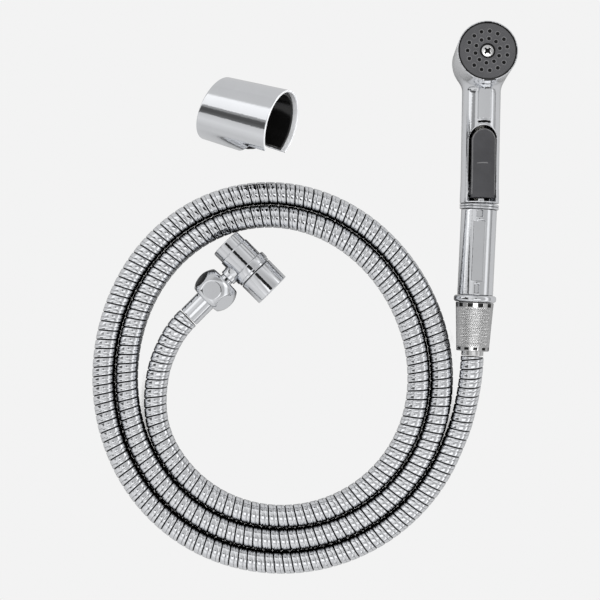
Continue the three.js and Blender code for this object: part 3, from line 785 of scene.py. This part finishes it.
def face_shade_and_highlights(x, h, z):
    """Painted shade: the rim, the well and each nozzle hole are black. A lighter ring round each nozzle hole is a
    painted highlight.
    """
    rho = np.hypot(x, z)
    shades = ((rho > 17.5) | ((rho < 5) & (h < 29.6))).astype(int)
    for px, pz in NOZZLES:
        away = np.hypot(x - px, z + pz)
        shades = np.where((away < 1.62) & (h > 29.5), 2, np.where(away < 1.1, 1, shades))
    return shades


field_piece("spray_face", face_plate_field, (-18.5, 27, -18.5), (18.5, 30.6, 18.5), 0.25, HEAD, "handset",
            "face_grey", [FACE_GREY, BLACK_RUBBER, HIGHLIGHT_GREY], "face_plate", face_shade_and_highlights)


def nozzle_pad_mesh():
    """A rubber disc under the face with a hollow nub in each nozzle hole."""
    parts = [turned_mesh([(1.9, 25.3), (18.2, 25.3), (18.2, 27), (1.9, 27)], 96)]
    nub = [
        (0, 26.4), (0.85, 26.4), (0.8, 29.7), (0.7, 29.95), (0.5, 30), (0.42, 29.8), (0.4, 28.6), (0, 28.6),
    ]
    for px, pz in NOZZLES:
        one = turned_mesh(nub, 20, 0.06)
        one.transform(moved(px, 0, -pz))
        parts.append(one)
    return combined(parts[0], parts[1:], "UNION")


set_in("nozzle_mat", nozzle_pad_mesh(), HEAD, "handset", "black_rubber", [BLACK_RUBBER], "nozzle_pad")


CROSS_FLOOR = 28.9  # height of the bottom of the screw's cross


def face_screw_field(x, h, z):
    rho = np.hypot(x, z)
    head = rounded(rho - 3.9, h - (30.25 - 0.028 * rho ** 2), 0.4)
    head = np.maximum(head, 28.8 - h)
    shank = np.maximum(rho - 1.5, slab(h, 16, 29))
    u, v = (x + z) * math.sqrt(0.5), (x - z) * math.sqrt(0.5)
    rise = h - CROSS_FLOOR
    taper = rise * 0.35
    cross = np.minimum(
        np.maximum(np.abs(u) - 2.1 - taper, np.abs(v) - 0.42 - taper * 0.3),
        np.maximum(np.abs(v) - 2.1 - taper, np.abs(u) - 0.42 - taper * 0.3))
    hub = rho - 0.95 - taper
    cross = np.maximum(smooth_min(cross, hub, 0.3), -rise)
    return smooth_max(np.minimum(head, shank), -cross, 0.12)


# Painted shade: the faces in the screw's cross recess are dark.
def cross_shade(x, h, z):
    return (h < 29.75) & (np.hypot(x, z) < 3.2)


field_piece("face_screw_head", face_screw_field, (-4, 16, -4), (4, 30.4, 4), 0.16, HEAD, "handset",
            "steel", [STEEL, GROOVE_SHADE], "face_screw", cross_shade)

strip_light("screw_shine", (0.1, 0.1, 1.9), (0.08, 0.07, 0), (0.9, 0.9), 6.5, "face_screw_head")

# ------------------------------------------------------------------ handset: lever

PADDLE = (7.7, 4, 48.4)  # half width, lower end, top of the arch
PADDLE_TOP = (  # (place along, height)
    (3, 10.9), (8, 11.6), (14, 12.1), (20, 12.5), (25.4, 12.75), (27.4, 12.6), (31, 12.0), (36, 11.5),
    (41, 11.55), (45, 11.9), (49.7, 12.5),
)
CREASE_Y, PLUNGER_Y = 26.4, 34
HUB_RADIUS, HUB_HALF = 2.6, 7.5


def paddle_outline(u, y):
    return arch(u - 0.25, y, *PADDLE)


def lever_field(x, y, z):
    u, w = rolled(x, z)
    crease = 0.22 * np.exp(-((y - CREASE_Y) / 0.45) ** 2) * (np.abs(u) < 4.5)
    top = np.interp(y, *zip(*PADDLE_TOP)) - 0.55 * (u / 8) ** 2 + crease
    under = 7.2 + (y - 3) * 0.017
    paddle = np.maximum(rounded(paddle_outline(u, y), w - top, 0.7), under - z)
    hub = np.maximum(from_pin(y, z) - HUB_RADIUS, np.abs(x) - HUB_HALF)
    web = np.maximum(np.maximum(np.abs(x) - HUB_HALF, np.abs(y - PIN_Y) - HUB_RADIUS), slab(z, PIN_Z, 8))
    boss = np.maximum(np.hypot(x, y - PLUNGER_Y) - 2.4, slab(z, 5.9, 9))
    body = np.minimum(np.minimum(paddle, hub), np.minimum(web, boss))
    return np.maximum(body, PIN_HOLE - from_pin(y, z))


def lever_rim(x, y, z):
    """Painted highlights: the lighter band along the paddle's edge and along the fine raised line across it."""
    u, w = rolled(x, z)
    edge = (paddle_outline(u, y) > -0.7) & (w > 9.5) & (y > 6)
    crease = (np.abs(y - CREASE_Y + 0.02 * u ** 2) < 0.3) & (u > -4) & (u < 2.5) & (w > 8)
    return edge | crease


field_piece("thumb_paddle", lever_field, (-8.6, 3.5, 0.3), (9, 49.2, 13.4), 0.35, BODY, "lever",
            "lever_grey", [LEVER_GREY, HIGHLIGHT_GREY], "thumb_lever", lever_rim)

# ------------------------------------------------------------------ handset: grip

GRIP_RADIUS, GRIP_TOP, GRIP_END = 11.5, -3.2, -58.5
# The grip's flat panel and the recesses above and below it: middle, half width, lower end, upper end,
# and roundness of the corners.
PANEL = (-1.2, 3.8, -49.6, -10.4, 0.6)
UPPER_RECESS = (-1.5, 2.1, -8.3, -3.6, 0.4)
LOWER_RECESS = (-1.2, 1.5, -57.4, -51.4, 0.4)


def grip_field(x, y, z):
    u, w = rolled(x, z)

    def outline(middle, half, low, high, corner):
        return rounded(np.abs(u - middle) - half, slab(y, low, high), corner)

    shell = rounded(np.hypot(x, z) - GRIP_RADIUS, slab(y, GRIP_END, GRIP_TOP), 0.3)
    shell = smooth_max(shell, -np.maximum(outline(*PANEL), 10.45 + 0.03 * u - w), 0.3)
    recesses = np.minimum(outline(*UPPER_RECESS), outline(*LOWER_RECESS))
    shell = smooth_max(shell, -np.maximum(recesses, 10 - w), 0.2)
    return np.maximum(shell, BORE_RADIUS - np.hypot(x, z))


field_piece("grip_tube", grip_field, (-12.3, -58.6, -12.3), (12.3, -3, 12.3), 0.38, GRIP, "handset",
            "chrome", [CHROME], "grip_shell")

strip_light("grip_sky", (-1.66, -0.06, 1.05), (0.08, -0.06, 0), (0.9, 1.3), 1.6, "grip_tube")

turned_piece("seam_rings", [
    (7, -9), (8.9, -9), (8.9, -2.9), (12.2, -2.9), (12.6, -2.5), (12.6, -1.7), (12.1, -1.35),
    (12.6, -1), (12.6, -0.2), (12.2, 0.2), (8.8, 0.2), (8.8, 1), (7, 1),
], GRIP, "handset", "chrome", CHROME, "seam_ring", 0.15)
turned_piece("grip_collar", [
    (9.2, -63), (12.6, -62.9), (13.6, -62), (13.65, -60.7), (13.6, -59.5), (12.6, -58.7), (9.2, -58.7),
], GRIP, "handset", "chrome", CHROME, "end_collar", 0.6)

# ------------------------------------------------------------------ hose nut

NUT_TOP, NUT_END, NUT_WIDE, NUT_NARROW = -63.2, -94.6, 12.3, 10.55
NUT_SIDES, DIAMONDS, RECESSES = 416, 52, 11
KNURL_TOP, KNURL_END = NUT_TOP - 3.2, NUT_END + 2.8
KNURL_ROW, KNURL_DEPTH = 1.5, 0.45


def in_recess(y, angle):
    """Is the point in one of the small recesses round the nut's two plain bands?"""
    upper = KNURL_TOP + 0.1 < y < NUT_TOP - 0.45
    lower = NUT_END + 0.5 < y < KNURL_END - 0.2
    phase = math.radians(12.5 if upper else 3.5)
    off_middle = ((angle - phase) * RECESSES / TURN + 0.5) % 1 - 0.5
    return (upper or lower) and abs(off_middle) < 0.26


def nut_side(y, angle):
    """The nut's radius there, and its material: 0 plain, 1 painted shade in a valley of the knurl, 2 painted shade
    in a recess.
    """
    radius = NUT_NARROW + (NUT_WIDE - NUT_NARROW) * (y - NUT_END) / (NUT_TOP - NUT_END)
    across, along = DIAMONDS * angle / TURN, (y - NUT_END) / KNURL_ROW
    ridge = max(abs((across + along) % 1 - 0.5), abs((across - along) % 1 - 0.5)) * 2
    share = max(0, min(1, (KNURL_TOP - y) / 0.3, (y - KNURL_END) / 0.3))
    radius -= 0.05 + share * KNURL_DEPTH * max(0, (ridge - 0.4) / 0.6)
    if share == 1 and ridge > 0.72:
        return radius, 1
    return (radius - 0.1, 2) if in_recess(y, angle) else (radius, 0)


def knurled_nut():
    """The hose nut: diamond knurling between two plain bands, which have a row of small recesses each."""
    outline = [(NUT_WIDE - 0.4, NUT_TOP), (NUT_WIDE, NUT_TOP - 0.4)]
    outline += [(None, y) for y in np.arange(NUT_TOP - 0.6, NUT_END + 0.6, -0.16)]
    outline += [(NUT_NARROW, NUT_END + 0.4), (NUT_NARROW - 0.4, NUT_END)]
    outline += [(7.5, NUT_END), (7.5, -78.2), (10.7, -78.2), (10.7, NUT_TOP)]
    vertices, looks = [], []
    for plain_radius, y in outline:
        for k in range(NUT_SIDES):
            angle = TURN * k / NUT_SIDES
            radius, look = nut_side(y, angle) if plain_radius is None else (plain_radius, 0)
            vertices.append((radius * math.sin(angle), y, radius * math.cos(angle)))
            looks.append(look)
    faces = []
    for i in range(len(outline)):
        row, after = i * NUT_SIDES, (i + 1) % len(outline) * NUT_SIDES
        for k in range(NUT_SIDES):
            m = (k + 1) % NUT_SIDES
            faces.append((row + k, after + k, after + m, row + m))
    mesh = bpy.data.meshes.new("nut")
    mesh.from_pydata(vertices, [], faces)
    mesh.polygons.foreach_set("material_index", [min(looks[v] for v in face) for face in faces])
    face_out(mesh)
    return mesh


# The knurl's valleys and the recesses carry painted shade.
set_in("knurled_hose_nut", knurled_nut(), GRIP, "handset_nut", "satin_chrome",
       [KNURL, KNURL_SHADE, GROOVE_SHADE], "hose_nut")
strip_light("nut_strip", (0.075, -0.09, 1.9), (0.075, -0.1, 0), (0.9, 2.0), 30, "knurled_hose_nut")
turned_piece("hose_crimp", [
    (4.5, -97.5), (7.1, -97.5), (7.1, -77.9), (9.6, -77.9), (9.6, -76), (4.5, -76),
], GRIP, "handset", "steel", STEEL, "hose_tail")

# ------------------------------------------------------------------ ball nut and tee

# The fitting's +Y runs from the hose to the tee, and the tee's run crosses it at RUN_Y.
RUN_Y = 26.2
TO_RUN = moved(0, RUN_Y, 0) @ ALONG_X
FITTING = at_joint("fitting_nut_spin") @ facing(JOINTS["fitting_nut_spin"]["axis"])

turned_piece("hose_end_ferrule", [
    (4.2, -24.4), (6.9, -24.4), (7.1, -23.6), (7.1, -6.6), (9.3, -6.6), (9.3, -4.2), (4.2, -4.2),
], FITTING, "handset", "satin_chrome", CHROME, "hose_ferrule")


BALL_NUT_RADIUS, BALL_NUT_HALF = 13.75, 9.15
FLATS, FLAT_START, FLAT_AT, FLAT_LEAN = 6, -6, 12.4, 0.1
BALL_BORE = (  # (place along, radius)
    (-6.9, 7.6), (-6.899, 9.6), (3.8, 9.6), (4, 7.6), (6, 7.05), (7.4, 6.3), (10, 6.4),
)


def ball_nut_field(x, y, z):
    ball = np.sqrt(x ** 2 + y ** 2 + z ** 2) - BALL_NUT_RADIUS
    body = smooth_max(ball, np.abs(y) - BALL_NUT_HALF, 0.7)
    for i in range(FLATS):
        a = math.radians(FLAT_START) + TURN * i / FLATS
        flat = (x * math.sin(a) + z * math.cos(a)) * 0.995 - y * FLAT_LEAN - FLAT_AT
        body = smooth_max(body, flat, 0.15)
    return smooth_max(body, np.interp(y, *zip(*BALL_BORE)) - np.hypot(x, z), 0.3)


field_piece("ball_joint_nut", ball_nut_field, (-13.8, -9.3, -13.8), (13.8, 9.3, 13.8), 0.32, FITTING,
            "fitting_nut", "chrome", [CHROME], "ball_nut")
turned_piece("ball_stem_turned", [
    (2.4, -3), (3.2, -2.9), (4.9, -1.5), (6.3, 0.6), (6.88, 2.8), (6.85, 4.4), (6.3, 6.3), (5.4, 7.8),
    (4.3, 8.8), (4.3, 16.5), (2.4, 16.5),
], FITTING, "tee", "brass", CHROME, "ball_stem", 0.3)


def tee_mesh():
    """The tee's cast body: the run with its collar and thread, the neck, and the bores through both."""
    run = turned_mesh([
        (0, -17.3), (9.8, -17.3), (10.35, -16.8), (10.35, -9.8), (11.1, -9.4), (11.1, 3.4),
        (12.5, 3.4), (12.8, 3.7), (12.8, 8), (12.2, 8.3), (12.2, 9.9), (8.2, 9.9), (8.2, 14.4),
        (7.4, 14.4), (7.4, 16.2), (8.2, 16.2), (8.2, 17.6), (0, 17.6),
    ], 96, 0.3)
    run.transform(TO_RUN)
    neck = turned_mesh([
        (0, 11), (5.1, 11), (5.5, 11.4), (5.5, 14), (6, 15.2), (7.4, 17.5), (7.4, RUN_Y), (0, RUN_Y),
    ], 72, 0.3)
    run_bore = turned_mesh([(0, -18), (8, -18), (8, -9), (6.3, -8), (6.3, 18), (0, 18)], 72, 0)
    run_bore.transform(TO_RUN)
    neck_bore = turned_mesh([(0, 10), (4.8, 10), (4.8, 17), (3, 17), (3, RUN_Y), (0, RUN_Y)], 72, 0)
    return combined(combined(run, [neck], "UNION"), [run_bore, neck_bore], "DIFFERENCE")


set_in("tee_casting", tee_mesh(), FITTING, "tee", "chrome", [CHROME], "tee_body")
turned_piece("inlet_swivel_nut", [
    (8.6, 10.3), (11.7, 10.3), (12.2, 10.8), (12.2, 25.7), (11.9, 26), (10.9, 26), (10.7, 25.8),
    (10.7, 13.4), (8.6, 13.4),
], FITTING @ TO_RUN, "inlet_nut", "chrome", CHROME, "swivel_nut")

# ------------------------------------------------------------------ holder

# The sleeve's +X runs from its lower end to its mouth. Its black base is BASE_X along and lies flat.
BASE_X, SLEEVE_LIFT = 22, 22
HOLDER_YAW, HOLDER_RISE = math.radians(-17.4), math.radians(21.9)
BASE = Vector(MOUNTS["holder_wall_face"]["pos_m"]) / MM
SLEEVE = (moved(*BASE) @ Matrix.Rotation(HOLDER_YAW, 4, "Z") @ moved(-BASE_X, 0, SLEEVE_LIFT)
          @ Matrix.Rotation(-HOLDER_RISE, 4, "Y"))
SLEEVE_LENGTH, LOW_RADIUS, MOUTH_RADIUS, SKEW = 47.9, 21.2, 23, 0.167
SLEEVE_WALL, LINER_WALL, WALL_GAP = 1.4, 1.9, 0.3
# The slot along the sleeve's side: (place along, upper edge, lower edge) in degrees from -Y towards -Z.
SLOT = ((23.5, 5, 58), (36, -32, 52))
SCREW_X = 16


def sleeve_radius(x):
    return LOW_RADIUS + (MOUTH_RADIUS - LOW_RADIUS) * x / SLEEVE_LENGTH


def slot_distance(x, y, z):
    """Distance into the sleeve's wall from the slot's edge."""
    angle = np.arctan2(-z, -y)
    places, uppers, lowers = zip(*SLOT)
    upper = np.radians(np.interp(x, places, uppers))
    lower = np.radians(np.interp(x, places, lowers))
    middle, half = (upper + lower) / 2, (lower - upper) / 2
    away = np.abs((angle - middle + math.pi) % TURN - math.pi) - half
    return np.hypot(y, z) * np.sin(np.clip(away, -math.pi / 2, math.pi / 2))


def slotted_cone(x, y, z, inset, wall, start, end, lip, radius):
    """A slotted shell, inset into the sleeve's outside, whose slot is wider by lip and edges are rounded."""
    depth = sleeve_radius(x) - inset - np.hypot(y, z)
    edge = np.maximum(lip - slot_distance(x, y, z), np.maximum(start - (x - SKEW * y), x - end))
    return rounded(np.maximum(-depth, depth - wall), edge, radius)


def sleeve_field(x, y, z):
    return slotted_cone(x, y, z, 0, SLEEVE_WALL, 0, SLEEVE_LENGTH, 0, 0.45)


def mouth_rim_highlight(x, y, z):
    """Painted highlight: the mouth's cut edge, and the bare wall inside it, which the lining leaves free, are a
    pale bright material.
    """
    inside = np.hypot(y, z) < sleeve_radius(x) - 0.9
    return (x > SLEEVE_LENGTH - 0.45) | ((x > SLEEVE_LENGTH - 3.4) & inside)


field_piece("holder_shell", sleeve_field, (-4, -23.2, -23.2), (48.1, 23.2, 23.2), 0.42, SLEEVE, "holder",
            "chrome", [CHROME, MOUTH_HIGHLIGHT], "holder_sleeve", mouth_rim_highlight)
strip_light("rim_glow", (0.95, 0.1, 0.3), (-0.07, 0.035, 0.03), (0.3, 0.3), 5, "holder_shell")


def liner_field(x, y, z):
    inset = SLEEVE_WALL + WALL_GAP
    body = slotted_cone(x, y, z, inset, LINER_WALL, 1.5, SLEEVE_LENGTH - 2.9, -0.35, 0.5)
    screw = np.maximum(np.hypot(x - SCREW_X, y) - 4.2, z)
    return np.maximum(body, -screw)


field_piece("holder_lining", liner_field, (-3, -21.4, -21.4), (46.8, 21.4, 21.4), 0.45, SLEEVE, "holder",
            "black_plastic", [BLACK_PLASTIC], "holder_liner")
strip_light("lining_shine", (-1.2, -0.35, 1.2), (-0.05, 0.045, 0.02), (0.7, 0.7), 12, "holder_lining")
